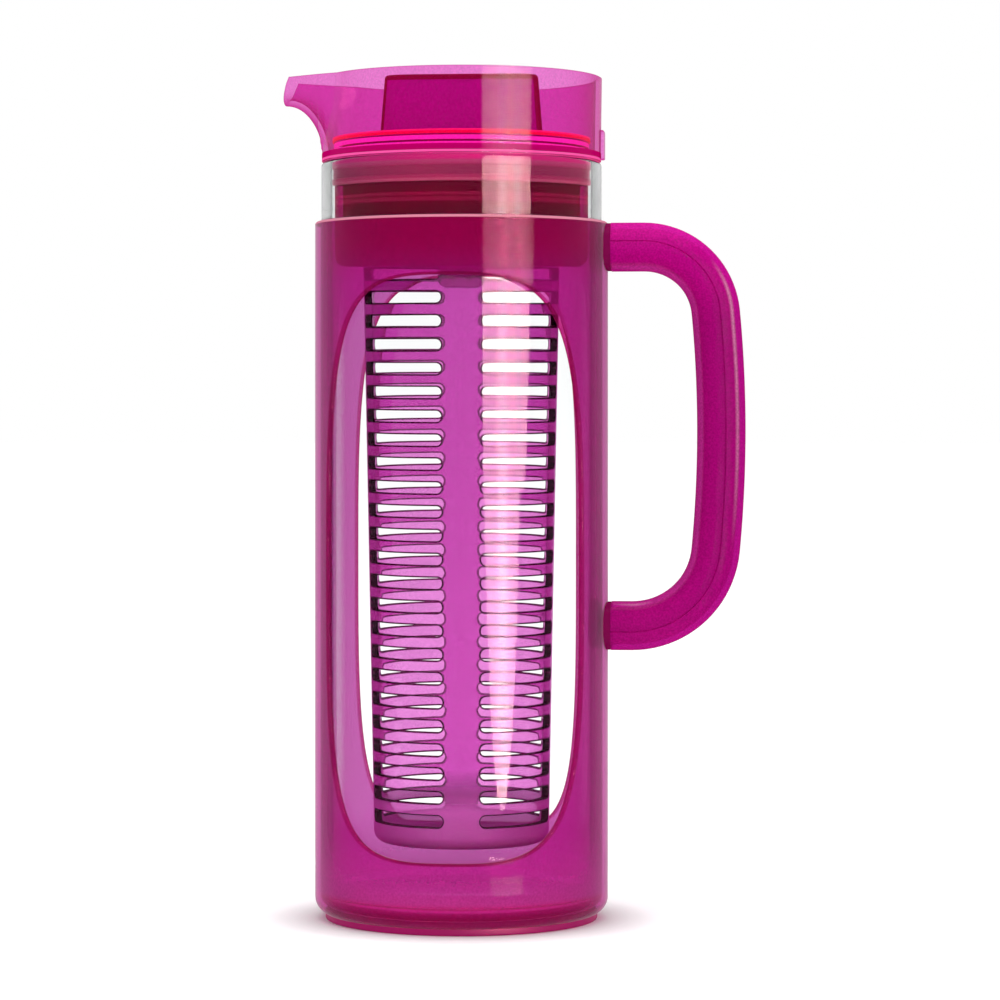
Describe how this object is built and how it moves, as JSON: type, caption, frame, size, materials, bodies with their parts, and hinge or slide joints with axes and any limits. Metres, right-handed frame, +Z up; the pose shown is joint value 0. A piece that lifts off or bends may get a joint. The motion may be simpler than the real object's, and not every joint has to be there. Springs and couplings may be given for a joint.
{
  "type": "fruit infuser pitcher",
  "caption": "Tall clear pitcher in a tinted windowed sleeve with a side handle, a spouted twist lid and a slotted infuser core hanging inside.",
  "frame": {"origin": "centre of the base, on the table", "axes": "+Z up along the pitcher's axis, +X towards the handle, -X towards the spout, windows along -Y and +Y"},
  "size_m": [0.1548, 0.0982, 0.2822],
  "materials": {
    "magenta_sleeve": "clear tinted plastic, moulded, polished",
    "magenta_shell": "clear tinted plastic, moulded, polished",
    "foot_rubber": "soft moulded ring, satin",
    "clear_carafe": "colourless clear vessel, polished",
    "pink_collar": "clear tinted plastic, moulded, polished",
    "deep_plug": "clear tinted plastic, thick, polished",
    "pale_gasket": "soft translucent ribbed ring, satin",
    "deep_stopper": "clear tinted plastic, thick, polished",
    "pale_seal": "soft ring, satin",
    "magenta_cap": "clear tinted plastic, moulded, polished",
    "pink_infuser": "clear tinted plastic, moulded, polished"
  },
  "bodies": {
    "base": {"outer_sleeve": "magenta_sleeve", "handle_channel": "magenta_shell", "handle_cover": "magenta_shell", "foot_ring": "foot_rubber"},
    "vessel": {"carafe": "clear_carafe"},
    "lid": {"pour_collar": "pink_collar", "neck_plug": "deep_plug", "neck_gasket": "pale_gasket"},
    "infuser": {"infuser_core": "pink_infuser"},
    "stopper": {"stopper_body": "deep_stopper", "stopper_seal": "pale_seal"},
    "cap": {"stopper_cap": "magenta_cap"}
  },
  "joints": [
    {"name": "carafe_lift", "type": "slide", "parent": "base", "child": "vessel", "axis": [0, 0, 1], "range_m": [0, 0.235]},
    {"name": "lid_lift", "type": "slide", "parent": "vessel", "child": "lid", "axis": [0, 0, 1], "range_m": [0, 0.232]},
    {"name": "infuser_twist", "type": "hinge", "parent": "lid", "child": "infuser", "pos_m": [0, 0, 0.2], "axis": [0, 0, 1], "range_deg": [0, 60]},
    {"name": "stopper_lift", "type": "slide", "parent": "lid", "child": "stopper", "axis": [0, 0, 1], "range_m": [0, 0.062]},
    {"name": "cap_twist", "type": "hinge", "parent": "stopper", "child": "cap", "pos_m": [0, 0, 0.26], "axis": [0, 0, 1], "range_deg": [0, 90]}
  ]
}
